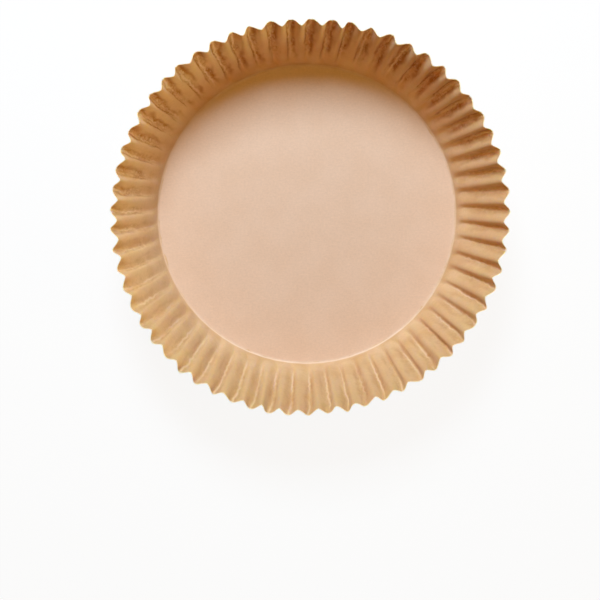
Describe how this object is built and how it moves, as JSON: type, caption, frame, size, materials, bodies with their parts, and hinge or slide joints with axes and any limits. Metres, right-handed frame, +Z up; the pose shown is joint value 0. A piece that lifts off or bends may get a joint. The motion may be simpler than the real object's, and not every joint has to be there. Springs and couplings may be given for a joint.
{
  "type": "air fryer paper liner",
  "caption": "Round paper liner for an air fryer basket: a flat base and a flared, fluted wall pressed from one sheet, open at the top.",
  "frame": {"origin": "centre of the flat base's underside, on the surface that the liner stands on", "axes": "+Z up out of the cup along its axis, +Y through the outer tip of a flute, +X between two tips"},
  "size_m": [0.1998, 0.2, 0.045],
  "materials": {
    "kraft_paper": "unbleached greaseproof paper with a satin release coat"
  },
  "bodies": {
    "root": {"liner": "kraft_paper"}
  },
  "joints": []
}
